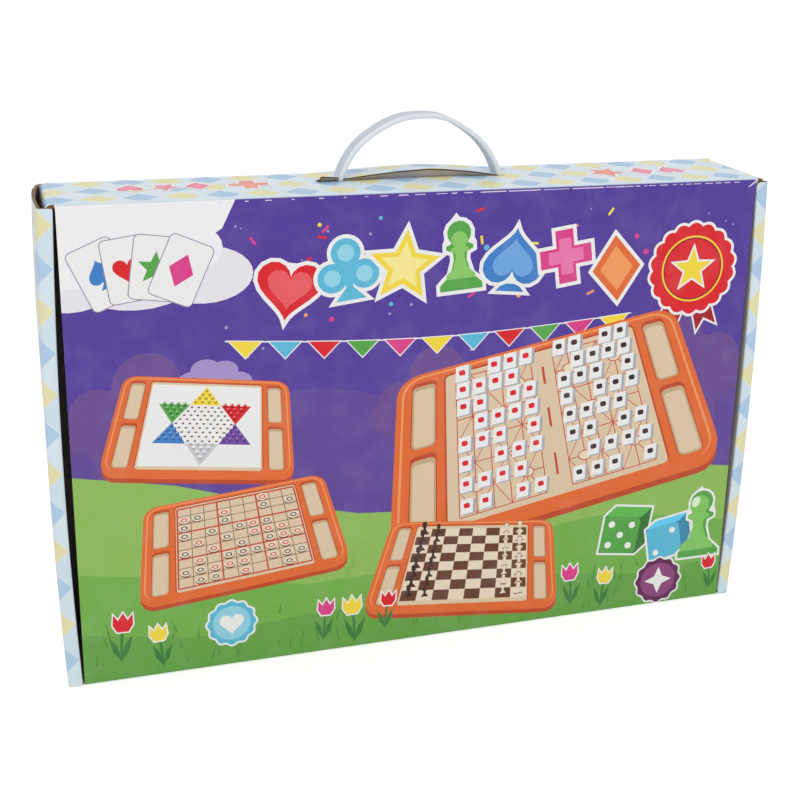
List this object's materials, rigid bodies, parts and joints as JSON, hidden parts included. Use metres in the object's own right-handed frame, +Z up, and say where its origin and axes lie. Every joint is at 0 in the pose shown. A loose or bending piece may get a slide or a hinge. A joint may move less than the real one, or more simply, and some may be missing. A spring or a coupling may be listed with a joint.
{
  "type": "games compendium box",
  "caption": "Flat corrugated carton with rolled side walls, hinged tuck-in front and strap handle, holding a moulded game tray with boards, pegs, discs, tiles and chessmen.",
  "frame": {"origin": "middle of the footprint on the surface that the carton stands on, with the carton on its long edge", "axes": "+X to the right along the long edge as seen from the front, +Y from the hinged front to the back panel, +Z up to the handle"},
  "size_m": [0.4074, 0.069, 0.3015],
  "materials": {
    "printed_board": "gloss-varnished print",
    "lid_print": "gloss-varnished print",
    "strap_plastic": "milky polypropylene",
    "tray_plastic": "moulded gloss",
    "board_wood": "varnished fibreboard",
    "rivet_plastic": "moulded gloss",
    "dark_plastic": "moulded gloss",
    "ivory_plastic": "moulded gloss",
    "red_disc": "turned wood with a red ring",
    "black_disc": "turned wood with a black ring",
    "number_wood": "turned wood",
    "tile_plastic": "moulded gloss",
    "peg_red": "moulded gloss",
    "peg_yellow": "moulded gloss",
    "peg_green": "moulded gloss",
    "peg_blue": "moulded gloss",
    "peg_white": "moulded gloss",
    "peg_purple": "moulded gloss"
  },
  "bodies": {
    "carton": {"back_panel": "printed_board", "bottom_wall": "printed_board", "top_wall": "printed_board", "left_outer_wall": "printed_board", "left_roll_strip": "printed_board", "left_inner_wall": "printed_board", "right_outer_wall": "printed_board", "right_roll_strip": "printed_board", "right_inner_wall": "printed_board", "left_top_tab": "printed_board", "right_top_tab": "printed_board", "left_bottom_tab": "printed_board", "right_bottom_tab": "printed_board", "game_tray": "tray_plastic", "tray_bottom_board": "board_wood", "tray_rivets": "rivet_plastic", "chess_board": "board_wood", "peg_board": "board_wood", "chessmen_dark": "dark_plastic", "chessmen_light": "ivory_plastic", "river_discs_red": "red_disc", "river_discs_black": "black_disc", "number_discs": "number_wood", "army_tiles_red": "tile_plastic", "army_tiles_black": "tile_plastic", "pegs_red": "peg_red", "pegs_yellow": "peg_yellow", "pegs_green": "peg_green", "pegs_blue": "peg_blue", "pegs_white": "peg_white", "pegs_purple": "peg_purple"},
    "lid": {"lid_panel": "lid_print"},
    "flap": {"tuck_flap": "lid_print"},
    "handle": {"handle_strap": "strap_plastic"}
  },
  "joints": [
    {"name": "lid_hinge", "type": "hinge", "parent": "carton", "child": "lid", "pos_m": [0, -0.0345, 0], "axis": [1, 0, 0], "range_deg": [0, 90]},
    {"name": "flap_crease", "type": "hinge", "parent": "lid", "child": "flap", "pos_m": [0, -0.0329, 0.261], "axis": [1, 0, 0], "range_deg": [-85, 0]},
    {"name": "handle_slide", "type": "slide", "parent": "carton", "child": "handle", "axis": [0, 0, 1], "range_m": [-0.006, 0]}
  ]
}
